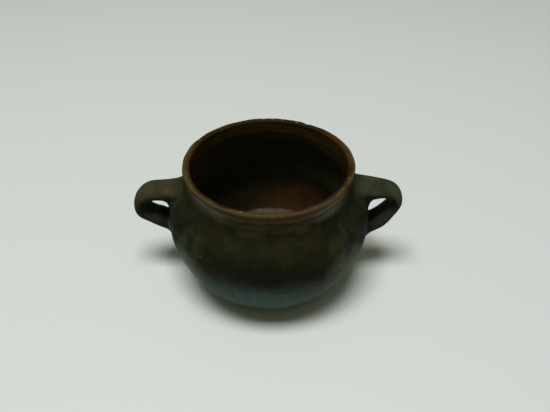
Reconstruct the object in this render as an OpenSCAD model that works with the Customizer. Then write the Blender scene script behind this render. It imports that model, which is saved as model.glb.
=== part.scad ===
// Small two-handled cooking pot of thrown earthenware, glazed inside.
// Millimetres. The origin is the middle of the foot, +Z is up, and the
// handles stand out along X.

/* [Body] */
// Height from the table to the top of the lip
pot_h = 90; // [86:1:100]
// Diameter of the belly at its widest
belly_d = 135.6; // [128:0.2:146]
// Height of the widest part of the belly above the table
belly_z = 45.5; // [42:0.5:50]
// Diameter of the flat foot
foot_d = 89; // [80:1:98]
// Radius of the worn edge round the foot
foot_round = 4; // [2:0.5:6]
// Slope of the wall against the table where it leaves the foot, in degrees
foot_slope = 32; // [24:1:45]
// Thickness of the wall at the belly
wall_t = 5.6; // [4.5:0.1:7]
// Thickness of the floor
floor_t = 9; // [6:0.5:12]
// Diameter of the level part of the floor inside
floor_d = 56; // [40:1:66]
// Thickness of the glaze coat inside
glaze_t = 0.4; // [0.3:0.05:0.8]

/* [Mouth] */
// Outer diameter of the lip
lip_d = 110; // [104:0.5:116]
// Thickness of the rolled lip
lip_t = 4.4; // [3.6:0.1:5.4]
// Height of the rolled lip
lip_h = 2.9; // [2.4:0.1:4.4]
// Distance from the top of the lip down to the ridge at the collar's foot
collar_h = 12; // [10:0.5:15]
// How far the collar is drawn in under the lip
collar_in = 1.7; // [0.8:0.1:2.4]
// How far the ridge at the collar's foot stands out
ridge_out = 0.5; // [0.3:0.1:0.9]

/* [Handles] */
// Width of the strap
strap_w = 17.2; // [14:0.2:22]
// Thickness of the strap
strap_t = 8.6; // [7:0.2:11]
// How far the strap swells on each side where it meets the belly
foot_flare = 2; // [0.5:0.1:4]
// How far the strap keeps level before it turns down
level_run = 20.5; // [16:0.5:24]

/* [Left handle] */
// How far the left handle stands out beyond the belly
left_out = 23; // [20:0.5:30]
// Drop from the top of the lip to the middle of the left upper root
left_root_drop = 23.5; // [21:0.5:26]
// Drop from the top of the lip to the outermost point of the left handle
left_tip_drop = 34; // [32:0.5:36]
// Drop from the top of the lip to the middle of the left lower root
left_foot_drop = 52; // [49:0.5:55]
// How far the left handle keeps upright below its outermost point
left_turn = 8.5; // [6:0.5:10]
// How far the strap swells on each side at the left upper root
left_flare = 2.7; // [0.5:0.1:5]

/* [Right handle] */
// How far the right handle stands out beyond the belly
right_out = 21.5; // [20:0.5:30]
// Drop from the top of the lip to the middle of the right upper root
right_root_drop = 22; // [20:0.5:25]
// Drop from the top of the lip to the outermost point of the right handle
right_tip_drop = 31.5; // [30:0.5:34]
// Drop from the top of the lip to the middle of the right lower root
right_foot_drop = 56; // [52:0.5:58]
// How far the right handle keeps upright below its outermost point
right_turn = 6.5; // [5:0.5:10]
// How far the strap swells on each side at the right upper root
right_flare = 4.5; // [0.5:0.1:5]

/* [Hidden] */

clay = [0.17, 0.15, 0.11];
clay_light = [0.24, 0.21, 0.15];
glaze = [0.36, 0.17, 0.09];

// Facets round the pot, and segments along each curve of its outline
round_facets = 120;
curve_steps = 10;
// Sides of the strap's section, and rings along each half of its loop
strap_sides = 20;
strap_rings = 14;

belly_r = belly_d / 2;
foot_r = foot_d / 2;
lip_r = lip_d / 2;
collar_r = lip_r - collar_in;
ridge_r = collar_r + ridge_out;
ridge_z = pot_h - collar_h;
// Middle of the rolled lip
lip_z = pot_h - lip_h / 2;
// Inside of the wall at the mouth, at the belly and at the level floor
mouth_r = lip_r - lip_t;
bowl_r = belly_r - wall_t;
floor_r = floor_d / 2;

// Point at share t along the cubic curve from a to d, which leaves a towards b
// and comes to d from c
function bezier(a, b, c, d, t) =
    a * pow(1 - t, 3) + b * 3 * t * pow(1 - t, 2)
    + c * 3 * pow(t, 2) * (1 - t) + d * pow(t, 3);

// Points along that curve, without its last one
function curve(a, b, c, d, steps = curve_steps) =
    [for (i = [0 : steps - 1]) bezier(a, b, c, d, i / steps)];

// Fullness of the outline: how far each curve runs on in its own direction
// before it bends, as a share of that curve's height or width
foot_full = 0.46;
belly_full = 0.28;
shoulder_full = 0.74;
throat_full = 0.42;
throat_in = 0.13;
// The same for the inside, which cuts the corner of the floor
neck_full = 0.55;
bowl_top_full = 0.75;
bowl_full = 0.62;
floor_full = 0.55;

// Outside of the wall as [radius, height], from the foot up to the lip
foot_steps = 3;
foot_curve = [for (i = [0 : foot_steps - 1])
    let (a = foot_slope * i / foot_steps)
    [foot_r + foot_round * sin(a), foot_round * (1 - cos(a))]];
foot_top = [foot_r + foot_round * sin(foot_slope), foot_round * (1 - cos(foot_slope))];
belly_curve = curve(
    foot_top,
    foot_top + (belly_r - foot_r) * foot_full * [cos(foot_slope), sin(foot_slope)],
    [belly_r, belly_z * (1 - belly_full)],
    [belly_r, belly_z]);
shoulder_h = ridge_z - belly_z;
shoulder_curve = curve(
    [belly_r, belly_z],
    [belly_r, belly_z + shoulder_h * shoulder_full],
    [ridge_r + (belly_r - ridge_r) * throat_in, ridge_z - shoulder_h * throat_full],
    [ridge_r, ridge_z]);

// The collar draws in above its ridge and runs out again under the lip, which
// it meets where the roll starts
ridge_h = 1;
roll_start = 45;
function roll_point(a) =
    [lip_r - lip_t / 2 * (1 - cos(a)), lip_z + lip_h / 2 * sin(a)];
collar_curve = curve(
    [ridge_r, ridge_z],
    [collar_r, ridge_z + ridge_h],
    [collar_r, lip_z - lip_h],
    roll_point(-roll_start), 6);
outside = concat(foot_curve, belly_curve, shoulder_curve, collar_curve);

// The rolled lip, from its underside outside over the top to the inside
lip_roll = [for (a = [-roll_start : 15 : 180]) roll_point(a)];

// Inside of the wall, from the lip down to the level floor
neck_curve = curve(
    [mouth_r, lip_z - lip_h],
    [mouth_r, ridge_z - shoulder_h * neck_full],
    [bowl_r, belly_z + shoulder_h * bowl_top_full],
    [bowl_r, belly_z]);
bowl_curve = curve(
    [bowl_r, belly_z],
    [bowl_r, belly_z - (belly_z - floor_t) * bowl_full],
    [floor_r + (bowl_r - floor_r) * floor_full, floor_t],
    [floor_r, floor_t], 14);
inside = concat(neck_curve, bowl_curve, [[floor_r, floor_t]]);

// Unit vector from p to q turned a quarter turn towards the pot's axis
function inward(p, q) = let (v = q - p) [v[1], -v[0]] / norm(v);

// Surface of the glaze: the inside moved off the wall by the coat's thickness,
// from the floor up to the lip
last_inside = len(inside) - 1;
function coat_point(i) =
    i == last_inside
    ? inside[i] + [0, glaze_t]
    : inside[i] + glaze_t * inward(inside[max(i - 1, 0)], inside[i + 1]);
coat = [for (i = [last_inside : -1 : 0]) coat_point(i)];

// Radius of the outside at height z
outside_by_height = [for (p = outside) [p[1], p[0]]];
function wall_r(z) = lookup(z, outside_by_height);

// How far each strap runs into the wall before the wall cuts it off
root_depth = 5;
// How far a strap rises upright to its outermost point from above
turn_above = 9;
// Run of a strap's lower end before it bends: outwards and upwards
foot_run = [13.5, 4.5];
// How square the strap's section is: 2 is an oval, more is squarer
strap_square = 2.3;
// Share of a strap's length over which each end swells, and how much of the
// swelling goes into its thickness
flare_share = 0.3;
flare_thick = 0.6;

// Middle line of a strap as [distance from the axis, height]: out from the
// shoulder, round its outermost point and back to the belly
function loop_line(out, root_z, tip_z, foot_z, turn) =
    let (tip = [belly_r + out - strap_t / 2, tip_z])
    let (root = [wall_r(root_z) - root_depth, root_z])
    let (foot = [wall_r(foot_z) - root_depth, foot_z])
    concat(
        curve(root, root + [level_run, 0], tip + [0, turn_above], tip, strap_rings),
        curve(tip, tip - [0, turn], foot + foot_run, foot, strap_rings),
        [foot]);

// Swelling at share s of a strap's length: root_flare at its start, foot_flare
// at its end and nothing along the middle
function flare(s, root_flare) =
    root_flare * pow(max(0, 1 - s / flare_share), 2)
    + foot_flare * pow(max(0, 1 - (1 - s) / flare_share), 2);

// Sine or cosine v of an oval's angle, drawn out for a squarer section
function squared(v) = sign(v) * pow(abs(v), 2 / strap_square);

// One ring of points round the middle line, square to it
function section(line, i, root_flare) =
    let (last = len(line) - 1)
    let (v = line[min(i + 1, last)] - line[max(i - 1, 0)])
    let (up = [-v[1], v[0]] / norm(v))
    let (swell = flare(i / last, root_flare))
    let (half_w = strap_w / 2 + swell)
    let (half_t = strap_t / 2 + swell * flare_thick)
    [for (k = [0 : strap_sides - 1])
        let (a = 360 * k / strap_sides)
        let (p = line[i] + up * half_t * squared(sin(a)))
        [p[0], half_w * squared(cos(a)), p[1]]];

// Solid strap along a middle line
module strap(line, root_flare) {
    rings = len(line);
    points = [for (i = [0 : rings - 1]) each section(line, i, root_flare)];
    sides = [for (i = [0 : rings - 2], k = [0 : strap_sides - 1])
        let (a = i * strap_sides + k)
        let (b = i * strap_sides + (k + 1) % strap_sides)
        each [[a, b, a + strap_sides], [b, b + strap_sides, a + strap_sides]]];
    first_cap = [for (k = [strap_sides - 1 : -1 : 0]) k];
    last_cap = [for (k = [0 : strap_sides - 1]) (rings - 1) * strap_sides + k];
    polyhedron(points, concat(sides, [first_cap, last_cap]));
}

// Everything within the outside of the wall, which cuts the handles' roots
module pot_envelope() {
    rotate_extrude($fn = round_facets)
        polygon(concat([[0, 0]], outside, lip_roll, [[0, lip_z]]));
}

// Thrown wall: foot, floor, belly, shoulder, collar and lip
module body() {
    color(clay)
        rotate_extrude($fn = round_facets)
            polygon(concat([[0, 0]], outside, lip_roll, inside, [[0, floor_t]]));
}

// Coat of glaze on the inside of the wall and on the floor
module inner_glaze() {
    color(glaze)
        rotate_extrude($fn = round_facets)
            polygon(concat(inside, [[0, floor_t]], [[0, floor_t + glaze_t]], coat));
}

// Pulled strap handle, cut where it is pressed on to the wall
module handle(line, root_flare) {
    color(clay_light)
        difference() {
            strap(line, root_flare);
            pot_envelope();
        }
}

module left_handle() {
    line = loop_line(left_out, pot_h - left_root_drop, pot_h - left_tip_drop,
        pot_h - left_foot_drop, left_turn);
    mirror([1, 0, 0])
        handle(line, left_flare);
}

module right_handle() {
    line = loop_line(right_out, pot_h - right_root_drop, pot_h - right_tip_drop,
        pot_h - right_foot_drop, right_turn);
    handle(line, right_flare);
}

body();
inner_glaze();
left_handle();
right_handle();
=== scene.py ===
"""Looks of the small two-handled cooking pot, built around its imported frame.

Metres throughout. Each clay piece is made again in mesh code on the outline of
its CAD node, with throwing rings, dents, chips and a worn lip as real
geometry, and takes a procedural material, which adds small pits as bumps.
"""

import math

import bpy
import numpy as np
from mathutils import Matrix, Vector


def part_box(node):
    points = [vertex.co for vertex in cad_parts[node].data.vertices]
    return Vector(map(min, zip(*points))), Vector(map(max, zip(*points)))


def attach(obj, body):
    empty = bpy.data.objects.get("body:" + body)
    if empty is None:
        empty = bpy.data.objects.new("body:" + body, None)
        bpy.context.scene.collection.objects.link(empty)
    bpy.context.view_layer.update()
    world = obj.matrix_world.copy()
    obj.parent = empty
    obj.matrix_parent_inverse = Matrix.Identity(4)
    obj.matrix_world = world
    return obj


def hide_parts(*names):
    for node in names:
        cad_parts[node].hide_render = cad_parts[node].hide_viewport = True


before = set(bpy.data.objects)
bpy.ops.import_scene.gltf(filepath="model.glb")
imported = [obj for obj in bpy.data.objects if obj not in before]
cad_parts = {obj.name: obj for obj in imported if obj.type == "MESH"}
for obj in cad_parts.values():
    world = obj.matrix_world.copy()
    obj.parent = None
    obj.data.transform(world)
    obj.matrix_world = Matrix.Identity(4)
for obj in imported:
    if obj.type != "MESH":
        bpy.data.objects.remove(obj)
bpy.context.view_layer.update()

MM = 0.001
GRID = 0.02 * MM

# Camera, fitted to the photograph
CAMERA_AT = (3.98 * MM, -287.69 * MM, 291.49 * MM)
CAMERA_PITCH = 39.79
CAMERA_LENS = 36.0
CAMERA_SENSOR = 36.0

# Fineness of the meshes
ROUND_STEPS = 360
OUTLINE_STEP = 0.1 * MM
FAN_RADIUS = 1.5 * MM

# Bead under the lip, the groove above it and the groove above the ridge, as
# (depth under the top of the lip, half width, how far it stands out)
COLLAR_MARKS = [
    (5.6 * MM, 1.1 * MM, 0.30 * MM),
    (3.4 * MM, 0.5 * MM, -0.22 * MM),
    (9.2 * MM, 1.0 * MM, -0.20 * MM),
    (11.7 * MM, 0.5 * MM, 0.18 * MM),
]
# How far the lip dips at the back, and the height over which it fades out
BACK_DIP = 1.2 * MM
DIP_FADE = 14 * MM

# Chips as (azimuth in degrees, height, radius, depth). The last four of the lip
# are shallow chips on its back, whose pale colour is a painted glint of light
LIP_CHIPS_AND_GLINTS = [
    (-107.2, 89.6 * MM, 1.2 * MM, 0.45 * MM),
    (61.0, 89.4 * MM, 2.2 * MM, 0.9 * MM),
    (-21.0, 89.3 * MM, 1.0 * MM, 0.2 * MM),
    (152.0, 89.5 * MM, 1.4 * MM, 0.3 * MM),
    # Painted glints of light on the back of the lip, made as shallow pale chips
    (94.5, 88.5 * MM, 1.5 * MM, 0.2 * MM),
    (87.5, 88.5 * MM, 1.2 * MM, 0.15 * MM),
    (80.0, 88.4 * MM, 1.4 * MM, 0.2 * MM),
    (68.5, 88.4 * MM, 1.7 * MM, 0.2 * MM),
]
WALL_CHIPS = [
    (-133.2, 64.2 * MM, 0.7 * MM, 0.25 * MM),
    (-128.1, 55.7 * MM, 0.9 * MM, 0.25 * MM),
    (38.0, 60.0 * MM, 1.0 * MM, 0.2 * MM),
    (118.0, 47.0 * MM, 1.3 * MM, 0.25 * MM),
]

# Patches on the outside as (azimuth in degrees, height, half length round the
# pot, half height): thinner soot that shows the clay, thicker soot, and pale
# patches on the collar, which are a painted sheen of reflected light
OCHRE_PATCHES = [
    (-101.0, 75.2 * MM, 9.0 * MM, 3.0 * MM),
    (-82.0, 76.6 * MM, 12.0 * MM, 1.8 * MM),
    (-132.8, 60.0 * MM, 3.4 * MM, 6.5 * MM),
    (-51.0, 62.0 * MM, 8.0 * MM, 5.0 * MM),
    (-116.0, 84.5 * MM, 6.0 * MM, 2.0 * MM),
    (31.0, 66.0 * MM, 9.0 * MM, 4.0 * MM),
    (143.0, 58.0 * MM, 4.0 * MM, 7.0 * MM),
    (118.0, 75.0 * MM, 12.0 * MM, 2.4 * MM),
]
RED_PATCHES = [
    (-68.0, 74.8 * MM, 7.0 * MM, 2.4 * MM),
    (92.0, 72.5 * MM, 9.0 * MM, 2.6 * MM),
    (66.0, 57.0 * MM, 6.0 * MM, 5.0 * MM),
]
SOOT_PATCHES = [
    (-97.0, 52.5 * MM, 34.0 * MM, 6.5 * MM),
    (-60.0, 50.0 * MM, 18.0 * MM, 4.5 * MM),
    (-150.0, 57.0 * MM, 14.0 * MM, 9.0 * MM),
    (-24.0, 55.0 * MM, 14.0 * MM, 8.0 * MM),
    (78.0, 53.0 * MM, 40.0 * MM, 7.0 * MM),
    (130.0, 66.0 * MM, 12.0 * MM, 6.0 * MM),
    (4.0, 50.0 * MM, 24.0 * MM, 10.0 * MM),
    (178.0, 50.0 * MM, 24.0 * MM, 10.0 * MM),
]
# Painted sheen: pale patches of reflected light on the collar
SHEEN_PATCHES = [
    (-134.0, 83.0 * MM, 18.0 * MM, 3.6 * MM),
    (-46.0, 82.4 * MM, 17.0 * MM, 5.8 * MM),
    (58.0, 82.5 * MM, 12.0 * MM, 3.0 * MM),
]
# Top of the ash over the lower belly
ASH_TOP = 54 * MM
# Where the lip is burnt dark in front, as (azimuth, half width) in degrees
LIP_BURNS = [(-142.0, 9.0), (-117.0, 9.0), (-50.0, 24.0), (-12.0, 12.0)]
# Thick soot on the lip as (azimuth in degrees, height, half length, half height)
LIP_SOOT = [
    (100.0, 88.5 * MM, 34.0 * MM, 6.0 * MM),
    (60.0, 88.5 * MM, 22.0 * MM, 6.0 * MM),
    (145.0, 88.5 * MM, 16.0 * MM, 5.0 * MM),
    (-30.0, 88.5 * MM, 4.0 * MM, 1.6 * MM),
    (-152.0, 87.0 * MM, 6.0 * MM, 1.6 * MM),
]

# Straps: section, its swelling and the fillet of clay where it meets the wall.
# Swells are where the potter's hand left the strap thicker, as (share of its
# length, half length, extra on its outer face, extra on its inner face)
STRAP_W = 17.2 * MM
STRAP_T = 8.6 * MM
STRAP_SQUARE = 2.1
ROOT_DEPTH = 5 * MM
LEVEL_RUN = 20.5 * MM
TURN_ABOVE = 9 * MM
FOOT_RUN = (13.5 * MM, 4.5 * MM)
FOOT_FLARE = 2 * MM
FLARE_SHARE = 0.3
FLARE_THICK = 0.6
# Clay smeared into the corner between strap and wall, as its reach along the
# strap and down the wall: beside and over the strap, and under its two roots
FILLET = np.array([4.2, 4.2]) * MM
FILLET_UNDER_TOP_ROOT = np.array([14.0, 10.0]) * MM
FILLET_UNDER_LOW_ROOT = np.array([6.6, 6.6]) * MM
# Share of its radius at which the two faces of such a fillet meet
FILLET_MEETS = 1 - math.sqrt(0.5)
SEAT_DEPTH = 0.6 * MM
RUN_ON = 0.1
STRAP_SIDES = 72
STRAP_RINGS = 170
CAP_RINGS = 5
HANDLES = {
    "left_strap": {
        "node": "left_handle",
        "side": -1,
        "root_drop": 23.5 * MM,
        "tip_drop": 34 * MM,
        "foot_drop": 52 * MM,
        "turn": 8.5 * MM,
        "flare": 2.7 * MM,
        "swells": [
            (0.12, 0.07, 0, 1.2 * MM),
            (0.25, 0.10, 1.2 * MM, 0),
            (0.62, 0.08, 1.2 * MM, 0),
            (0.80, 0.08, -0.2 * MM, 2.0 * MM),
        ],
        "lower_pale_share": 0.55,
        "seed": 41,
    },
    "right_strap": {
        "node": "right_handle",
        "side": 1,
        "root_drop": 22 * MM,
        "tip_drop": 31.5 * MM,
        "foot_drop": 56 * MM,
        "turn": 6.5 * MM,
        "flare": 4.5 * MM,
        "swells": [
            (0.12, 0.07, 0, 1.6 * MM),
            (0.25, 0.10, 1.5 * MM, 0),
            (0.80, 0.08, 2.1 * MM, 0),
        ],
        "lower_pale_share": 1.0,
        "seed": 42,
    },
}


# Outline of the pot, read from the frame

def turned_outline(node):
    """Outline of a turned CAD node as (radius, height) points, walked along its
    mesh edges from the lower of its two ends."""
    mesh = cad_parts[node].data
    keys = [
        (round(math.hypot(v.co.x, v.co.y) / GRID), round(v.co.z / GRID))
        for v in mesh.vertices
    ]
    joined = {}
    for edge in mesh.edges:
        a, b = (keys[i] for i in edge.vertices)
        if a != b:
            joined.setdefault(a, set()).add(b)
            joined.setdefault(b, set()).add(a)
    ends = [key for key in joined if len(joined[key]) == 1]
    path = [min(ends, key=lambda key: key[1])]
    seen = set(path)
    while True:
        onward = [key for key in joined[path[-1]] if key not in seen]
        if not onward:
            return np.array(path) * GRID
        path.append(onward[0])
        seen.add(onward[0])


def smooth_curve(points, step):
    """Smooth curve through points, sampled about every step of its length."""
    chord = np.linalg.norm(np.diff(points, axis=0), axis=1)
    at = np.concatenate([[0], np.cumsum(chord)])
    slope = np.gradient(points, at, axis=0)
    t = np.linspace(0, at[-1], round(at[-1] / step) + 1)
    i = np.clip(np.searchsorted(at, t, side="right") - 1, 0, len(chord) - 1)
    h = chord[i][:, None]
    u = (t - at[i])[:, None] / h
    return (
        points[i] * (1 + 2 * u) * (1 - u) ** 2
        + slope[i] * h * u * (1 - u) ** 2
        + points[i + 1] * u**2 * (3 - 2 * u)
        - slope[i + 1] * h * u**2 * (1 - u)
    )


wall_points = turned_outline("body")
outline = smooth_curve(
    np.vstack([[0, wall_points[0, 1]], wall_points, [0, wall_points[-1, 1]]]),
    OUTLINE_STEP,
)
# Distance along the outline, and the unit normal that points out of the clay
run = np.concatenate([[0], np.cumsum(np.linalg.norm(np.diff(outline, axis=0), axis=1))])
tangent = np.gradient(outline, run, axis=0)
tangent /= np.linalg.norm(tangent, axis=1)[:, None]
normal = np.column_stack([tangent[:, 1], -tangent[:, 0]])

lip_at = int(np.argmax(outline[:, 1]))
belly_at = int(np.argmax(outline[:, 0]))
foot_run_end = run[np.argmax(outline[:, 1] > 0.2 * MM)]
lip_run = run[lip_at]
pot_h = outline[lip_at, 1]
belly_r = outline[belly_at, 0]
floor_z = outline[-1, 1]

# The outside by height, up to the throat under the lip
rising = slice(int(np.searchsorted(run, foot_run_end)), lip_at)
outside_z = outline[rising, 1]
outside_r = outline[rising, 0]
outside_lean = normal[rising, 0]


def wall_radius(height):
    """Radius of the wall's outside at a height."""
    return np.interp(height, outside_z, outside_r)


def above_wall(points):
    """Distance of points from the wall's outside, along its normal."""
    radius = np.hypot(points[..., 0], points[..., 1])
    lean = np.interp(points[..., 2], outside_z, outside_lean)
    return (radius - wall_radius(points[..., 2])) * np.maximum(lean, 0.2)


# Smooth random fields and marks

def ripple(seed, around, along, waves_round, waves_along, count=28):
    """Smooth random field with a mean of 0 and a spread of 1. It closes round
    the pot: waves_round are whole waves per turn, waves_along are per metre."""
    rng = np.random.default_rng(seed)
    field = 0
    for _ in range(count):
        m = rng.integers(waves_round[0], waves_round[1] + 1)
        n = rng.uniform(*waves_along) * rng.choice([-1, 1])
        field = field + np.cos(m * around + 2 * math.pi * n * along + rng.uniform(0, 2 * math.pi))
    return field * math.sqrt(2 / count)


def bell(distance, half_width):
    """1 in the middle, fading to 0 a little beyond half_width."""
    return np.exp(-((distance / half_width) ** 2))


def fade(value, start, end):
    """0 at start and 1 at end, smooth between them."""
    t = np.clip((value - start) / (end - start), 0, 1)
    return t * t * (3 - 2 * t)


def chip_field(points, chips):
    """Depth of chips at points, and the share to which each point lies in a chip."""
    depth = np.zeros(points.shape[:-1])
    share = np.zeros(points.shape[:-1])
    for azimuth, height, radius, deep in chips:
        a = math.radians(azimuth)
        r = outline[lip_at, 0] if height > pot_h - 3 * MM else wall_radius(height)
        middle = np.array([r * math.cos(a), r * math.sin(a), height])
        near = bell(np.linalg.norm(points - middle, axis=-1), radius)
        depth += deep * near
        share = np.maximum(share, near)
    return depth, share


def turn_from(azimuth, around):
    """Angle from an azimuth in degrees, at most half a turn either way."""
    return (around - math.radians(azimuth) + math.pi) % (2 * math.pi) - math.pi


def patch_field(points, patches):
    """Share from 0 to 1 to which points on the outside lie in oval patches."""
    around = np.arctan2(points[..., 1], points[..., 0])
    share = np.zeros(points.shape[:-1])
    for azimuth, height, half_length, half_height in patches:
        turn = turn_from(azimuth, around)
        across = turn * min(wall_radius(height), 55 * MM if height > 84 * MM else 1) / half_length
        up = (points[..., 2] - height) / half_height
        share = np.maximum(share, bell(np.hypot(across, up), 1.0))
    return share


# The straps' middle lines and sections, and the clay smeared round their roots

def cubic(a, b, c, d, t):
    """Points at shares t along the cubic curve from a to d."""
    a, b, c, d = (np.array(p) for p in (a, b, c, d))
    t = np.asarray(t)[..., None]
    return a * (1 - t) ** 3 + 3 * b * t * (1 - t) ** 2 + 3 * c * t**2 * (1 - t) + d * t**3


def strap_middle(handle, share):
    """Middle line of a strap as (distance from the axis, height) at shares of
    its length: 0 at the upper root, 0.5 at its outermost point, 1 at the lower
    root. It runs on into the wall past both roots."""
    low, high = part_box(handle["node"])
    reach = max(abs(low.x), abs(high.x))
    root_z, tip_z, foot_z = (pot_h - handle[name] for name in ("root_drop", "tip_drop", "foot_drop"))
    root = np.array([wall_radius(root_z) - ROOT_DEPTH, root_z])
    tip = np.array([reach - STRAP_T / 2, tip_z])
    foot = np.array([wall_radius(foot_z) - ROOT_DEPTH, foot_z])
    upper = cubic(root, root + [LEVEL_RUN, 0], tip + [0, TURN_ABOVE], tip, share * 2)
    lower = cubic(tip, tip - [0, handle["turn"]], foot + FOOT_RUN, foot, share * 2 - 1)
    return np.where(share[..., None] < 0.5, upper, lower)


def strap_frame(handle, share):
    """Middle point of a strap, the direction it runs in and the one across its
    thickness, each as (distance from the axis, height)."""
    step = 0.002
    line = strap_middle(handle, share + step) - strap_middle(handle, share - step)
    line /= np.linalg.norm(line, axis=-1)[..., None]
    return strap_middle(handle, share), np.stack([-line[..., 1], line[..., 0]], -1)


def section_size(handle, share):
    """Half the width and half the thickness of a strap at shares of its length."""
    seen = np.clip(share, 0, 1)
    swell = handle["flare"] * np.clip(1 - seen / FLARE_SHARE, 0, 1) ** 2
    swell = swell + FOOT_FLARE * np.clip(1 - (1 - seen) / FLARE_SHARE, 0, 1) ** 2
    return STRAP_W / 2 + swell, STRAP_T / 2 + swell * FLARE_THICK


def root_shares(handle):
    """Shares at which a strap's middle line leaves the wall and comes back."""
    share = np.linspace(0, 1, 800)
    middle = strap_middle(handle, share)
    outside = share[middle[:, 0] > wall_radius(middle[:, 1])]
    return outside[0], outside[-1]


def fillet_reach(rise, top_root):
    """Reach of the fillet along the strap and down the wall, on the side of the
    strap that rise points to: 1 is its upper face, -1 its lower one."""
    under = np.where(top_root[..., None], FILLET_UNDER_TOP_ROOT, FILLET_UNDER_LOW_ROOT)
    reach = FILLET + (under - FILLET) * np.clip(-rise, 0, 1)[..., None] ** 2
    return reach[..., 0], reach[..., 1]


def fillet_stand(distance, reach, height):
    """How far one face of a fillet stands off at a distance from the other: by
    height where they meet, falling to 0 at reach. It stays level past the line
    where the two faces meet."""
    near = np.clip(distance / reach, FILLET_MEETS, 1)
    return height * (1 - np.sqrt(1 - (1 - near) ** 2))


def root_marks(points):
    """How far the clay smeared round the straps' roots stands off the wall, and
    the distance from the nearest upper root."""
    stands = np.zeros(points.shape[:-1])
    nearest = np.full(points.shape[:-1], 1.0)
    for handle in HANDLES.values():
        for share in root_shares(handle):
            middle, up = strap_frame(handle, np.array(share))
            half_w, half_t = section_size(handle, share)
            outward = points[..., 0] * handle["side"]
            rise = (outward - middle[0]) * up[0] + (points[..., 2] - middle[1]) * up[1]
            rise = rise * (1 if share < 0.5 else -1)
            away = np.hypot(points[..., 1], rise) + 1e-9
            section = (np.abs(points[..., 1]) / half_w) ** STRAP_SQUARE
            section = (section + (np.abs(rise) / half_t) ** STRAP_SQUARE) ** (1 / STRAP_SQUARE)
            distance = away * (1 - 1 / np.maximum(section, 1e-6))
            out, down = fillet_reach(rise / away, np.array(share < 0.5))
            stand = fillet_stand(distance, down, out)
            beside = outward > middle[0] / 2
            stands = np.maximum(stands, stand * beside)
            if share < 0.5:
                nearest = np.where(beside, distance, nearest)
    return stands, nearest


# The wall's real surface: outline, wobble, rings, dents and chips

def clay_surface(at, around, extra=0):
    """Points of the wall's surface at distances along its outline and angles
    round it, both grids, moved out along the normal by extra."""
    radius = np.interp(at, run, outline[:, 0])
    height = np.interp(at, run, outline[:, 1])
    out_r = np.interp(at, run, normal[:, 0])
    out_z = np.interp(at, run, normal[:, 1])
    smooth = np.stack([radius * np.cos(around), radius * np.sin(around), height + 0 * around], -1)

    inside = fade(at, lip_run - 1 * MM, lip_run + 4 * MM)
    standing = fade(height, 2 * MM, 9 * MM)
    wobble = 0.16 * MM * ripple(3, around, height, (2, 5), (2, 9)) * standing
    lumps = 0.07 * MM * ripple(5, around, at, (6, 22), (15, 55)) * standing
    rings_out = 0.022 * MM * np.sin(2 * math.pi * at / (4.3 * MM) + around)
    rings_in = 0.035 * MM * np.sin(2 * math.pi * at / (6.8 * MM) - around)
    drift = 0.6 + 0.4 * ripple(7, around, at, (1, 3), (5, 20))
    rings_in = rings_in * fade(height, pot_h - 6 * MM, pot_h - 45 * MM)
    rings = ((1 - inside) * rings_out + inside * rings_in) * drift * standing
    shift = wobble + lumps + rings + extra

    below_lip = pot_h - height
    for depth, half_width, out in COLLAR_MARKS:
        shift = shift + out * bell(below_lip - depth, half_width) * (1 - inside)
    chips_and_glints, _ = chip_field(smooth, LIP_CHIPS_AND_GLINTS + WALL_CHIPS)
    swelling, _ = root_marks(smooth)
    shift = shift - chips_and_glints - 0.12 * MM + swelling * (1 - inside)

    # The back of the lip dips, and the whole lip undulates a little
    back = (1 + np.sin(around)) / 2
    dip = BACK_DIP * back**2 + 0.12 * MM * (1 + 0.5 * ripple(9, around, 0, (2, 7), (0, 1)))
    dip = dip * fade(height, pot_h - DIP_FADE, pot_h - 1 * MM)
    # The foot is worn uneven and its middle is hollow
    hollow = 0.5 * MM * fade(radius, 40 * MM, 12 * MM) * (height < 1 * MM)
    radius = radius + out_r * shift
    height = np.maximum(height + out_z * shift - dip + hollow, 0)
    return np.stack([radius * np.cos(around), radius * np.sin(around), height], -1)


# Meshes

def closed_mesh(name, rows, material):
    """Closed piece from rings of points, with a fan over the first and the last."""
    rings, steps = rows.shape[:2]
    first = np.arange((rings - 1) * steps).reshape(rings - 1, steps)
    along = np.roll(first, -1, axis=1)
    quads = np.stack([first, along, along + steps, first + steps], -1).reshape(-1, 4)
    ring = np.arange(steps)
    last = (rings - 1) * steps
    low, high = rings * steps, rings * steps + 1
    low_fan = np.column_stack([np.full(steps, low), np.roll(ring, -1), ring])
    high_fan = np.column_stack([np.full(steps, high), last + ring, last + np.roll(ring, -1)])
    points = np.vstack([rows.reshape(-1, 3), rows[0].mean(0), rows[-1].mean(0)])
    faces = quads.tolist() + low_fan.tolist() + high_fan.tolist()
    a, b, c = (points[quads[:, i]] for i in (0, 1, 2))
    if np.einsum("ij,ij->", a, np.cross(b, c)) < 0:
        faces = [face[::-1] for face in faces]
    mesh = bpy.data.meshes.new(name)
    mesh.from_pydata(points.tolist(), [], faces)
    mesh.shade_smooth()
    mesh.materials.append(material)
    piece = bpy.data.objects.new(name, mesh)
    bpy.context.scene.collection.objects.link(piece)
    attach(piece, "root")
    return piece


def paint(piece, name, rows):
    """Stores a share from 0 to 1 for each point of a piece made by closed_mesh."""
    values = np.concatenate([rows.ravel(), [rows[0].mean(), rows[-1].mean()]])
    layer = piece.data.attributes.new(name, "FLOAT", "POINT")
    layer.data.foreach_set("value", values.astype(np.float32))


def spaced(knots, spacings):
    """Distances from the first knot to the last, with the given spacing at each
    knot and a smooth change between them."""
    fine = np.linspace(knots[0], knots[-1], 4000)
    count = np.concatenate([[0], np.cumsum(np.diff(fine) / np.interp(fine[1:], knots, spacings))])
    return np.interp(np.linspace(0, count[-1], round(count[-1]) + 1), count, fine)


angles = np.arange(ROUND_STEPS) * 2 * math.pi / ROUND_STEPS


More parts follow.
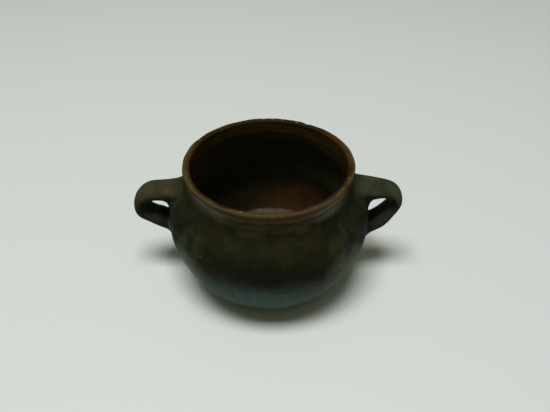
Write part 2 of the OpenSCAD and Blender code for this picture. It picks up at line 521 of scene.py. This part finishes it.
def make_wall(material):
    """Thrown wall: underside, foot, belly, shoulder, collar and lip, and its
    inside, which the glaze covers."""
    end = run[-1] - FAN_RADIUS
    at = spaced(
        [FAN_RADIUS, foot_run_end - 4 * MM, foot_run_end, lip_run - 18 * MM, lip_run - 12 * MM,
         lip_run + 4 * MM, lip_run + 10 * MM, end],
        [5 * MM, 2 * MM, 0.5 * MM, 0.85 * MM, 0.36 * MM, 0.36 * MM, 2.5 * MM, 3.5 * MM],
    )
    at, around = np.meshgrid(at, angles, indexing="ij")
    points = clay_surface(at, around)
    wall = closed_mesh("pot_wall", points, material)
    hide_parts("body")

    height = np.interp(at, run, outline[:, 1])
    outside = 1 - fade(at, lip_run + 2 * MM, lip_run + 3 * MM)
    ragged = 0.6 * MM * ripple(21, around, at, (3, 30), (5, 60))
    below = pot_h - height + ragged
    band = 0.45 * fade(below, 15.0 * MM, 11.0 * MM) + 0.55 * fade(below, 9.5 * MM, 6.0 * MM)
    # The inner half of the lip is browner than its top, and darker in front
    inward = at - lip_run + 0.5 * ragged
    inner_lip = fade(inward, -0.6 * MM, 0.9 * MM) * band
    turned = (np.degrees(around) + 180) % 360 - 180
    burnt = 0.35 * fade(np.sin(around), 0.0, -0.45) * (1 - bell(turned + 88, 12))
    for place, half_width in LIP_BURNS:
        burnt = burnt + 0.65 * bell(turned - place, half_width)
    burnt_lip = fade(inward, -1.3 * MM, 0.2 * MM) * np.clip(burnt, 0, 1) * band
    # Soot and painted shade darken the grooves of the collar
    line = 0.25 * ripple(24, around, 0, (2, 12), (0, 1))
    groove_soot_and_shade = 0.45 * bell(below - 3.4 * MM, 0.7 * MM) + (0.55 + line) * bell(below - 8.6 * MM, 1.2 * MM)
    uneven = 2.2 * MM * ripple(22, around, 0, (1, 9), (0, 1))
    ash = fade(height + uneven, ASH_TOP, ASH_TOP - 24 * MM)
    ash = ash * (0.84 + 0.16 * ripple(23, around, at, (1, 7), (4, 20)))
    pale_ash = fade(height, 36 * MM, 18 * MM)
    # The sides are paler than the front and the back, and the left one most: ash,
    # and in part a painted sheen of light reflected at the belly's edges
    sideways = np.abs(np.cos(around))
    side = fade(sideways + 0.05 * ripple(25, around, at, (2, 9), (5, 30)), 0.35, 0.85)
    side = side * (0.77 - 0.23 * np.cos(around)) * (0.25 + 0.75 * fade(np.sin(around), 0.55, -0.25))
    thin = 0.25 * fade(height, 78 * MM, 60 * MM) * fade(sideways, 0.97, 0.78)
    lowered = 6 * MM * fade(sideways, 0.74, 0.95)
    side_ash_and_sheen = side * (thin + 0.75 * fade(height + uneven + lowered, 60 * MM, 38 * MM))
    _, chips_and_glints = chip_field(points, LIP_CHIPS_AND_GLINTS + WALL_CHIPS)
    _, root_distance = root_marks(points)
    paint(wall, "worn", 0.45 * fade(root_distance, 15 * MM, 0) * outside)
    paint(wall, "lip", band)
    paint(wall, "inner_lip", inner_lip)
    paint(wall, "burnt_lip", burnt_lip)
    paint(wall, "groove_soot_and_shade", np.clip(groove_soot_and_shade, 0, 1) * outside)
    paint(wall, "lip_soot", patch_field(points, LIP_SOOT))
    paint(wall, "chips_and_glints", chips_and_glints)
    paint(wall, "ochre", patch_field(points, OCHRE_PATCHES) * outside)
    paint(wall, "red", patch_field(points, RED_PATCHES) * outside)
    paint(wall, "soot", patch_field(points, SOOT_PATCHES) * outside)
    paint(wall, "sheen", patch_field(points, SHEEN_PATCHES) * outside)
    paint(wall, "ash", np.clip(ash, 0, 1) * outside)
    paint(wall, "pale_ash", pale_ash * outside)
    paint(wall, "side_ash_and_sheen", side_ash_and_sheen * outside)
    paint(wall, "foot", fade(height, 3.0 * MM, 0.5 * MM) * outside)
    return wall


def make_glaze(material):
    """Coat of glaze on the inside, with a ragged edge under the lip."""
    coat = turned_outline("inner_glaze")
    coat_t = coat[-1, 1] - coat[0, 1]
    top = run[lip_at + int(np.argmin(np.abs(outline[lip_at:, 1] - coat[:, 1].max())))]
    end = run[-1] - FAN_RADIUS
    hidden = spaced([top, top + 6 * MM, end], [1 * MM, 3 * MM, 5 * MM])[::-1]
    seen = spaced([top, top + 6 * MM, end], [0.4 * MM, 0.85 * MM, 1.1 * MM])
    at = np.concatenate([hidden, seen])
    at, around = np.meshgrid(at, angles, indexing="ij")
    side = np.concatenate([np.zeros(len(hidden)), np.ones(len(seen))])[:, None]
    # The edge runs down and up by a little round the mouth
    edge = 0.7 * MM * ripple(31, angles, 0, (1, 6), (0, 1)) + 0.25 * MM * ripple(32, angles, 0, (8, 30), (0, 1))
    edge = np.clip(edge, -1.2 * MM, 2.0 * MM)
    at = at + edge * fade(at, top + 12 * MM, top)
    below_edge = at - top - edge
    thick = coat_t * (0.12 + 0.88 * fade(below_edge, 0, 7 * MM))
    pooled = 0.028 * MM * ripple(33, around, at, (3, 26), (10, 80))
    thick = (thick + pooled * fade(below_edge, 1 * MM, 4 * MM)) * side
    points = clay_surface(at, around, thick)
    glaze = closed_mesh("glaze_lining", points, material)
    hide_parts("inner_glaze")

    radius = np.interp(at, run, outline[:, 0])
    height = np.interp(at, run, outline[:, 1])
    sideways = fade(np.abs(np.cos(around)), 0.6, 1.0) * (0.85 + 0.15 * np.cos(around))
    # A red-brown pool of light, low on the lit side of the inside, is painted into the glaze
    lit_side = bell(turn_from(58, around) * radius, 34 * MM)
    # Scale from boiled water: a pale ring round the floor, thin in the middle, which
    # is in part a painted highlight of the floor
    scale = 0.42 + 0.58 * fade(radius, 8 * MM, 23 * MM)
    paint(glaze, "scale_and_highlight", fade(height, 14.2 * MM, 11.4 * MM) * scale)
    paint(glaze, "bottom", fade(height, 36 * MM, 20 * MM))
    # The inner left and right walls are painted paler: painted light that stands for light reaching them
    paint(glaze, "painted_light_sides", sideways * fade(height, 28 * MM, 60 * MM) * fade(height, 80 * MM, 67 * MM))
    paint(glaze, "painted_light_pool", lit_side * fade(height, 38 * MM, 21 * MM))
    return glaze


def strap_surface(handle, share, angle):
    """Points of a strap's surface at shares of its length and angles round its
    section, with its half of the fillet on the wall."""
    middle, up = strap_frame(handle, share)
    up = np.stack([up[..., 0], 0 * share, up[..., 1]], -1)
    across = np.array([0.0, 1.0, 0.0])
    power = 2 / STRAP_SQUARE
    flat_cos = np.sign(np.cos(angle)) * np.abs(np.cos(angle)) ** power
    flat_sin = np.sign(np.sin(angle)) * np.abs(np.sin(angle)) ** power
    seed = handle["seed"]
    lumps = 0.15 * MM * ripple(seed, angle, share, (0, 2), (1, 4))
    lumps = lumps + 0.025 * MM * ripple(seed + 10, angle, share, (2, 5), (6, 14))
    half_w, half_t = section_size(handle, share)
    half_w = half_w + lumps - 0.1 * MM
    half_t = half_t + lumps - 0.1 * MM
    centre = np.stack([middle[..., 0], 0 * share, middle[..., 1]], -1)
    for place, half_length, outer, inner in handle["swells"]:
        extra = outer * np.clip(flat_sin, 0, 1) - inner * np.clip(-flat_sin, 0, 1)
        centre = centre + up * (extra * bell(share - place, half_length))[..., None]
    offset = up * (half_t * flat_sin)[..., None] + across * (half_w * flat_cos)[..., None]
    outward = offset / np.linalg.norm(offset, axis=-1)[..., None]
    points = centre + offset
    rise = np.sum(outward * up, -1) * np.where(share < 0.5, 1, -1)
    stand = fillet_stand(above_wall(points), *fillet_reach(rise, share < 0.5))
    return points + outward * stand[..., None]


def seated_shares(handle, angle):
    """Shares at which one line along a strap enters and leaves the wall."""
    share = np.linspace(-RUN_ON, 1 + RUN_ON, 1500)
    deep = above_wall(strap_surface(handle, share, np.full_like(share, angle))) + SEAT_DEPTH
    outside = np.nonzero(deep > 0)[0]
    first, last = outside[0], outside[-1]
    start = np.interp(0, deep[[first - 1, first]], share[[first - 1, first]])
    end = np.interp(0, deep[[last + 1, last]], share[[last + 1, last]])
    return start, end


def seated_cap(ring):
    """Rings that shrink from an end ring to its middle, laid on the wall just
    under its outside."""
    shrink = np.linspace(0.1, 0.85, CAP_RINGS)[:, None, None]
    rings = ring.mean(0) + (ring - ring.mean(0)) * shrink
    radius = np.hypot(rings[..., 0], rings[..., 1])
    laid = (wall_radius(rings[..., 2]) - SEAT_DEPTH) / radius
    rings[..., :2] *= laid[..., None]
    return rings


def make_strap(name, material):
    """Pulled strap handle, pressed on to the wall at both ends."""
    handle = HANDLES[name]
    section = np.arange(STRAP_SIDES) * 2 * math.pi / STRAP_SIDES
    ends = np.array([seated_shares(handle, angle) for angle in section])
    even = np.linspace(0, 1, STRAP_RINGS)
    close = (1 - np.cos(math.pi * even)) / 2
    place = (0.45 * even + 0.55 * close)[:, None]
    share = ends[:, 0] + (ends[:, 1] - ends[:, 0]) * place
    angle = np.broadcast_to(section, share.shape)
    points = strap_surface(handle, share, angle)
    rows = np.concatenate([seated_cap(points[0]), points, seated_cap(points[-1])[::-1]])
    rows[..., 0] *= handle["side"]
    strap = closed_mesh(name, rows, material)
    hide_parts(handle["node"])

    clear = fade(above_wall(points), 0, 10 * MM)
    worn = fade(np.sin(angle), -0.5, 0.7) * fade(share, 0.64, 0.42) * (0.45 + 0.55 * clear)
    # The inner faces are painted paler: painted light that stands for light reaching the shaded inside of the
    # loop
    inner = fade(-np.sin(angle), 0.5, 0.95) * clear
    # The lower branch is paler, by the share the handle gives
    lower = fade(share, 0.5, 0.68) * clear * handle["lower_pale_share"]
    inner = inner * (1 - (1 - handle["lower_pale_share"]) * fade(share, 0.4, 0.6))
    pad = np.zeros((CAP_RINGS, STRAP_SIDES))
    paint(strap, "worn", np.concatenate([pad, worn, pad]))
    paint(strap, "inner", np.concatenate([pad, inner, pad]))
    paint(strap, "lower", np.concatenate([pad, lower, pad]))
    return strap


# Materials

# Strength of the shine: 0.5 is that of plain glass
CLAY_SHINE = 0.05
GLAZE_SHINE = 0.03


def rgb(red, green, blue):
    """Colour with full alpha, for a colour socket."""
    return (red, green, blue, 1.0)


class Shader:
    """Adds nodes to one material. An output given as a value is linked, and any
    other value is set on the socket."""

    def __init__(self, name):
        self.material = bpy.data.materials.new(name)
        self.material.use_nodes = True
        self.tree = self.material.node_tree
        self.tree.nodes.clear()
        self.place = self.add("ShaderNodeTexCoord").outputs["Object"]

    def add(self, kind, inputs=None, **settings):
        node = self.tree.nodes.new(kind)
        for name, value in settings.items():
            setattr(node, name, value)
        for name, value in (inputs or {}).items():
            if isinstance(value, bpy.types.NodeSocket):
                self.tree.links.new(value, node.inputs[name])
            else:
                node.inputs[name].default_value = value
        return node

    def painted(self, name):
        """A share painted on the mesh."""
        return self.add("ShaderNodeAttribute", attribute_name=name).outputs["Fac"]

    def noise(self, size, detail=4.0, roughness=0.55, stretch=None, offset=0.0):
        """Noise from 0 to 1 with spots about size wide. stretch squeezes it along
        each axis, and offset shifts it to another place."""
        stretch = stretch or (1, 1, 1)
        mapped = self.add(
            "ShaderNodeMapping",
            {"Vector": self.place, "Scale": stretch, "Location": (offset, offset, offset)},
        )
        texture = self.add(
            "ShaderNodeTexNoise",
            {"Vector": mapped.outputs[0], "Scale": 1 / size, "Detail": detail, "Roughness": roughness},
        )
        return texture.outputs[0]

    def span(self, value, start, end, low=0.0, high=1.0):
        """low where value is start, high where it is end, smooth between."""
        node = self.add(
            "ShaderNodeMapRange",
            {"Value": value, "From Min": start, "From Max": end, "To Min": low, "To Max": high},
            interpolation_type="SMOOTHSTEP",
        )
        return node.outputs[0]

    def math(self, operation, a, b=0.0):
        return self.add("ShaderNodeMath", {0: a, 1: b}, operation=operation).outputs[0]

    def mix(self, share, a, b):
        """Colour a where share is 0 and b where it is 1."""
        node = self.add("ShaderNodeMix", {0: share, 6: a, 7: b}, data_type="RGBA")
        return node.outputs[2]

    def by_height(self, stops):
        """Colour that changes with the height above the foot, through stops
        given as (height, colour)."""
        apart = self.add("ShaderNodeSeparateXYZ", {0: self.place})
        share = self.math("DIVIDE", apart.outputs[2], pot_h)
        ramp = self.add("ShaderNodeValToRGB", {0: share})
        bands = ramp.color_ramp.elements
        while len(bands) < len(stops):
            bands.new(0.5)
        for band, (height, colour) in zip(bands, stops):
            band.position = height / pot_h
            band.color = colour
        return ramp.outputs[0]

    def ragged(self, share, noise, start=0.35, end=0.75, depth=0.55):
        """A painted share with its edge broken up by noise."""
        wavy = self.math("MULTIPLY", self.math("SUBTRACT", noise, 0.5), depth)
        return self.span(self.math("ADD", share, wavy), start, end)

    def bump(self, height, distance, below=None):
        """Bump of the given height in metres, laid over another bump."""
        inputs = {"Height": height, "Distance": distance, "Strength": 1.0}
        if below is not None:
            inputs["Normal"] = below
        return self.add("ShaderNodeBump", inputs).outputs[0]

    def finish(self, colour, roughness, normal=None, shine=0.5):
        inputs = {"Base Color": colour, "Roughness": roughness, "Specular IOR Level": shine}
        if normal is not None:
            inputs["Normal"] = normal
        surface = self.add("ShaderNodeBsdfPrincipled", inputs)
        output = self.add("ShaderNodeOutputMaterial")
        self.tree.links.new(surface.outputs[0], output.inputs[0])
        return self.material


def sooty_clay(shader):
    """Colour, roughness and bump of smoked, waxy clay, before its patches."""
    broad = shader.noise(24 * MM, detail=3)
    cloudy = shader.noise(8 * MM, detail=5, offset=3.1)
    grain = shader.noise(1.1 * MM, detail=6, roughness=0.65)
    wiped = shader.noise(6 * MM, detail=5, stretch=(1, 1, 3), offset=1.7)
    colour = shader.mix(
        shader.span(cloudy, 0.35, 0.68), rgb(0.0078, 0.0090, 0.0029), rgb(0.0150, 0.0152, 0.0052)
    )
    colour = shader.mix(
        shader.span(broad, 0.45, 0.72, high=0.8), colour, rgb(0.0165, 0.0132, 0.0048)
    )
    colour = shader.mix(
        shader.span(wiped, 0.55, 0.80, high=0.35), colour, rgb(0.0045, 0.0056, 0.0028)
    )
    colour = shader.mix(
        shader.span(grain, 0.60, 0.78, high=0.35), colour, rgb(0.0270, 0.0255, 0.0120)
    )
    roughness = shader.span(cloudy, 0.3, 0.7, 0.72, 0.60)
    roughness = shader.math("ADD", roughness, shader.span(grain, 0.45, 0.8, 0.0, 0.12))
    normal = shader.bump(wiped, 0.07 * MM)
    normal = shader.bump(shader.noise(2.6 * MM, detail=4, offset=5.0), 0.09 * MM, normal)
    normal = shader.bump(grain, 0.045 * MM, normal)
    return colour, roughness, normal, cloudy, grain


def pits(shader, size):
    """Small round pits: 1 in a pit and 0 elsewhere."""
    cells = shader.add("ShaderNodeTexVoronoi", {"Vector": shader.place, "Scale": 1 / size})
    sparse = shader.span(shader.noise(3 * size, detail=2, offset=8.0), 0.46, 0.62)
    return shader.math("MULTIPLY", shader.span(cells.outputs[0], 0.20, 0.10), sparse)


def worn_clay(shader, colour, grain, cloudy):
    """Clay with its soot rubbed thin, where the share worn is painted."""
    worn = shader.ragged(shader.painted("worn"), cloudy, 0.05, 0.85, 0.4)
    olive = shader.mix(shader.span(grain, 0.4, 0.7), rgb(0.0200, 0.0225, 0.0095), rgb(0.0380, 0.0400, 0.0190))
    return shader.mix(worn, colour, olive), worn


def wall_material():
    shader = Shader("sooted_clay")
    colour, roughness, normal, cloudy, grain = sooty_clay(shader)
    edge = shader.noise(3.5 * MM, detail=5, roughness=0.65, offset=2.0)
    blot = shader.noise(1.9 * MM, detail=5, roughness=0.7, offset=11.0)

    colour, _ = worn_clay(shader, colour, grain, cloudy)
    soot = shader.ragged(shader.painted("soot"), edge, 0.1, 1.0)
    colour = shader.mix(shader.math("MULTIPLY", soot, 0.85), colour, rgb(0.0048, 0.0062, 0.0036))
    ochre = shader.ragged(shader.painted("ochre"), edge, 0.25, 1.0, 1.2)
    colour = shader.mix(shader.math("MULTIPLY", ochre, 0.85), colour, rgb(0.0290, 0.0245, 0.0075))
    red = shader.ragged(shader.painted("red"), edge, 0.25, 1.0, 1.2)
    colour = shader.mix(shader.math("MULTIPLY", red, 0.95), colour, rgb(0.0400, 0.0240, 0.0080))

    ash_colour = shader.mix(
        shader.span(blot, 0.35, 0.70), rgb(0.0360, 0.0540, 0.0480), rgb(0.0690, 0.0970, 0.0880)
    )
    ash_colour = shader.mix(
        shader.span(cloudy, 0.48, 0.75, high=0.55), ash_colour, rgb(0.0200, 0.0260, 0.0190)
    )
    pale = shader.mix(
        shader.span(blot, 0.35, 0.70), rgb(0.0560, 0.0800, 0.0700), rgb(0.0980, 0.1290, 0.1170)
    )
    ash_colour = shader.mix(shader.math("MULTIPLY", shader.painted("pale_ash"), 0.8), ash_colour, pale)
    # Fine level marks of the wheel show as paler streaks in the ash
    wheel = shader.noise(7 * MM, detail=5, roughness=0.65, stretch=(1, 1, 9), offset=17.0)
    ash_colour = shader.mix(
        shader.span(wheel, 0.52, 0.74, high=0.5), ash_colour, rgb(0.1250, 0.1560, 0.1450)
    )
    ash = shader.ragged(shader.painted("ash"), edge, 0.05, 1.0, 0.5)
    colour = shader.mix(ash, colour, ash_colour)
    # Paler sides: ash, and in part a painted sheen of light reflected at the belly's edges
    side_ash_and_sheen = shader.ragged(shader.painted("side_ash_and_sheen"), cloudy, 0.05, 1.0, 0.5)
    colour = shader.mix(shader.math("MULTIPLY", side_ash_and_sheen, 0.85), colour, rgb(0.1500, 0.1900, 0.1400))
    foot = shader.ragged(shader.painted("foot"), edge)
    bare = shader.mix(shader.span(blot, 0.35, 0.70), rgb(0.036, 0.024, 0.013), rgb(0.070, 0.049, 0.029))
    bare = shader.mix(shader.span(cloudy, 0.45, 0.70, high=0.7), bare, rgb(0.018, 0.014, 0.009))
    colour = shader.mix(foot, colour, bare)

    brown = shader.mix(shader.span(grain, 0.4, 0.7), rgb(0.059, 0.0385, 0.0135), rgb(0.080, 0.0530, 0.0205))
    brown = shader.mix(shader.span(edge, 0.52, 0.72, high=0.75), brown, rgb(0.030, 0.0200, 0.0070))
    inner_lip = shader.ragged(shader.painted("inner_lip"), edge, 0.25, 0.8, 0.5)
    brown = shader.mix(inner_lip, brown, rgb(0.046, 0.0230, 0.0050))
    burnt_lip = shader.ragged(shader.painted("burnt_lip"), edge, 0.2, 0.8, 0.5)
    brown = shader.mix(shader.math("MULTIPLY", burnt_lip, 0.85), brown, rgb(0.0200, 0.0100, 0.0020))
    lip_soot = shader.ragged(shader.painted("lip_soot"), edge, 0.2, 0.75, 0.7)
    brown = shader.mix(shader.math("MULTIPLY", lip_soot, 0.85), brown, rgb(0.0190, 0.0125, 0.0020))
    lip = shader.ragged(shader.painted("lip"), edge, 0.05, 0.95, 0.4)
    colour = shader.mix(lip, colour, brown)
    # Pale patches on the collar: a painted sheen of reflected light
    sheen = shader.ragged(shader.painted("sheen"), edge, 0.1, 1.0)
    colour = shader.mix(shader.math("MULTIPLY", sheen, 0.8), colour, rgb(0.1240, 0.1250, 0.0880))
    # Darker grooves on the collar: soot, and painted shade in the grooves
    groove_soot_and_shade = shader.math("MULTIPLY", shader.painted("groove_soot_and_shade"), 0.8)
    colour = shader.mix(groove_soot_and_shade, colour, rgb(0.0170, 0.0130, 0.0060))
    # Chips show pale clay; those on the back of the lip are painted glints of light
    chip_and_glint = shader.ragged(shader.painted("chips_and_glints"), blot, 0.45, 0.7, 0.3)
    colour = shader.mix(chip_and_glint, colour, rgb(0.090, 0.087, 0.062))

    # Pits are darkened: painted shade in them
    pitted = pits(shader, 2.4 * MM)
    colour = shader.mix(shader.math("MULTIPLY", pitted, 0.5), colour, rgb(0.003, 0.003, 0.002))
    normal = shader.bump(pitted, -0.08 * MM, normal)
    roughness = shader.math("ADD", roughness, shader.math("MULTIPLY", ash, 0.14))
    roughness = shader.math("ADD", roughness, shader.math("MULTIPLY", chip_and_glint, 0.3))
    return shader.finish(colour, roughness, normal, CLAY_SHINE)


def strap_material(name, patch_colour, offset):
    shader = Shader(name)
    colour, roughness, normal, cloudy, grain = sooty_clay(shader)
    blotch = shader.noise(13 * MM, detail=5, roughness=0.6, offset=offset)
    colour, worn = worn_clay(shader, colour, grain, cloudy)
    patch = shader.math("MULTIPLY", shader.span(blotch, 0.36, 0.62), worn)
    colour = shader.mix(shader.math("MULTIPLY", patch, 0.8), colour, patch_colour)
    # Paler lower branch, by the share the handle gives
    lower = shader.math("MULTIPLY", shader.painted("lower"), 0.8)
    colour = shader.mix(lower, colour, rgb(0.0300, 0.0380, 0.0250))
    # Paler inner faces: painted light in the shaded inside of the loop
    inner = shader.ragged(shader.painted("inner"), cloudy, 0.1, 0.9, 0.4)
    colour = shader.mix(shader.math("MULTIPLY", inner, 0.9), colour, rgb(0.0520, 0.0650, 0.0510))
    # Pits are darkened: painted shade in them
    pitted = pits(shader, 2.4 * MM)
    colour = shader.mix(shader.math("MULTIPLY", pitted, 0.5), colour, rgb(0.003, 0.003, 0.002))
    normal = shader.bump(pitted, -0.08 * MM, normal)
    roughness = shader.math("ADD", roughness, shader.math("MULTIPLY", worn, 0.10))
    return shader.finish(colour, roughness, normal, CLAY_SHINE)


# Colour of the glaze by height: dull olive over most of the wall, browner under
# the lip and on the floor. It also holds painted light: the olive is lighter over
# the middle of the wall, which the overhanging shoulder shades, and the floor is
# darker, where the lamp's light falls
GLAZE_COLOURS_AND_LIGHT = [
    (12 * MM, rgb(0.0110, 0.0076, 0.0028)),
    (17 * MM, rgb(0.0095, 0.0070, 0.0026)),
    (22 * MM, rgb(0.0112, 0.0088, 0.0034)),
    (28 * MM, rgb(0.0082, 0.0082, 0.0028)),
    (34 * MM, rgb(0.0100, 0.0118, 0.0036)),
    (42 * MM, rgb(0.0350, 0.0390, 0.0200)),
    (56 * MM, rgb(0.0680, 0.0740, 0.0420)),
    (68 * MM, rgb(0.0680, 0.0700, 0.0370)),
    (74 * MM, rgb(0.0450, 0.0370, 0.0170)),
    (80 * MM, rgb(0.0380, 0.0230, 0.0072)),
    (86 * MM, rgb(0.0360, 0.0207, 0.0072)),
]


def glaze_material():
    shader = Shader("brown_glaze")
    mottled = shader.noise(11 * MM, detail=5, offset=4.0)
    speckle = shader.noise(1.3 * MM, detail=4, roughness=0.6, offset=6.0)
    streaks = shader.noise(6 * MM, detail=4, stretch=(1, 1, 0.25), offset=9.0)
    # Height ramp with painted light: lighter where the shoulder shades the wall, darker on the lit floor
    colour = shader.by_height(GLAZE_COLOURS_AND_LIGHT)
    # Paler inner side walls: painted light
    colour = shader.mix(shader.painted("painted_light_sides"), colour, rgb(0.1150, 0.0980, 0.0420))
    # Red-brown painted pool of light low on the lit side of the inside
    red = shader.mix(
        shader.span(mottled, 0.35, 0.68), rgb(0.021, 0.0094, 0.0028), rgb(0.033, 0.0134, 0.0042)
    )
    painted_light_pool = shader.ragged(shader.painted("painted_light_pool"), mottled, 0.05, 0.90, 0.25)
    colour = shader.mix(painted_light_pool, colour, red)
    colour = shader.mix(shader.span(streaks, 0.5, 0.75, high=0.5), colour, rgb(0.007, 0.0055, 0.0020))
    colour = shader.mix(shader.span(speckle, 0.62, 0.72, high=0.5), colour, rgb(0.005, 0.004, 0.0015))
    patchy = shader.noise(6 * MM, detail=6, roughness=0.6, offset=13.0)
    # Pale scale on the floor, in part a painted highlight
    scale_and_highlight = shader.ragged(shader.painted("scale_and_highlight"), patchy, 0.25, 0.80, 0.9)
    crust_and_highlight = shader.mix(shader.span(speckle, 0.35, 0.7), rgb(0.062, 0.051, 0.030), rgb(0.090, 0.076, 0.048))
    crust_and_highlight = shader.mix(shader.span(mottled, 0.50, 0.75, high=0.7), crust_and_highlight, rgb(0.034, 0.026, 0.014))
    colour = shader.mix(scale_and_highlight, colour, crust_and_highlight)
    roughness = shader.span(mottled, 0.3, 0.7, 0.40, 0.55)
    roughness = shader.math("ADD", roughness, shader.math("MULTIPLY", shader.painted("bottom"), 0.40))
    normal = shader.bump(shader.noise(4 * MM, detail=3, offset=7.0), 0.05 * MM)
    grit = shader.math("MULTIPLY", scale_and_highlight, speckle)
    normal = shader.bump(grit, 0.08 * MM, normal)
    return shader.finish(colour, roughness, normal, GLAZE_SHINE)


def floor_material():
    shader = Shader("pale_table")
    return shader.finish(rgb(0.66, 0.70, 0.665), 0.5)


# The pot

wall = make_wall(wall_material())
glaze = make_glaze(glaze_material())
left_strap = make_strap("left_strap", strap_material("left_strap_clay", rgb(0.058, 0.045, 0.025), 0.7))
right_strap = make_strap("right_strap", strap_material("right_strap_clay", rgb(0.041, 0.050, 0.032), 5.3))


# Floor, light and camera

def make_floor():
    """Plain round floor, just under the foot."""
    steps = 96
    radius = 3.0
    turn = np.arange(steps) * 2 * math.pi / steps
    ring = np.column_stack([radius * np.cos(turn), radius * np.sin(turn), np.full(steps, -0.05 * MM)])
    mesh = bpy.data.meshes.new("floor")
    mesh.from_pydata(ring.tolist(), [], [list(range(steps))])
    mesh.materials.append(floor_material())
    floor = bpy.data.objects.new("floor", mesh)
    bpy.context.scene.collection.objects.link(floor)


def add_lamp(name, at, size, power, colour):
    """Long soft lamp, its length along X, aimed at the middle of the pot."""
    lamp = bpy.data.lights.new(name, "AREA")
    lamp.shape = "RECTANGLE"
    lamp.size, lamp.size_y = size
    lamp.energy = power
    lamp.color = colour
    holder = bpy.data.objects.new(name, lamp)
    back = Vector(at) - Vector((0, 0, pot_h / 2))
    back.normalize()
    side = Vector((1, 0, 0)) - back * back.x
    side.normalize()
    up = back.cross(side)
    holder.matrix_world = Matrix((side, up, back)).transposed().to_4x4()
    holder.location = at
    bpy.context.scene.collection.objects.link(holder)


make_floor()
add_lamp("overhead", (-0.18, -0.30, 2.00), (1.08, 0.54), 38.0, (0.965, 0.975, 1.0))

def make_world():
    """Dim, slightly warm light from all round, and a pale grey backdrop for the
    camera and for what shiny or clear surfaces show."""
    world = bpy.data.worlds.new("studio")
    world.use_nodes = True
    tree = world.node_tree
    tree.nodes.clear()
    room = tree.nodes.new("ShaderNodeBackground")
    room.inputs["Color"].default_value = rgb(1.0, 0.98, 0.68)
    room.inputs["Strength"].default_value = 0.145
    backdrop = tree.nodes.new("ShaderNodeBackground")
    backdrop.inputs["Color"].default_value = rgb(0.25, 0.26, 0.24)
    ray = tree.nodes.new("ShaderNodeLightPath")
    seen = ray.outputs["Is Camera Ray"]
    for kind in ("Is Glossy Ray", "Is Transmission Ray"):
        either = tree.nodes.new("ShaderNodeMath")
        either.operation = "MAXIMUM"
        tree.links.new(seen, either.inputs[0])
        tree.links.new(ray.outputs[kind], either.inputs[1])
        seen = either.outputs[0]
    choice = tree.nodes.new("ShaderNodeMixShader")
    output = tree.nodes.new("ShaderNodeOutputWorld")
    tree.links.new(seen, choice.inputs[0])
    tree.links.new(room.outputs[0], choice.inputs[1])
    tree.links.new(backdrop.outputs[0], choice.inputs[2])
    tree.links.new(choice.outputs[0], output.inputs["Surface"])
    bpy.context.scene.world = world


make_world()
bpy.context.scene.view_settings.view_transform = "Standard"

camera = bpy.data.cameras.new("camera")
camera.lens = CAMERA_LENS
camera.sensor_width = CAMERA_SENSOR
camera.sensor_fit = "HORIZONTAL"
camera.clip_start = 0.01
holder = bpy.data.objects.new("camera", camera)
holder.location = CAMERA_AT
holder.rotation_euler = (math.radians(90 - CAMERA_PITCH), 0, 0)
bpy.context.scene.collection.objects.link(holder)
bpy.context.scene.camera = holder
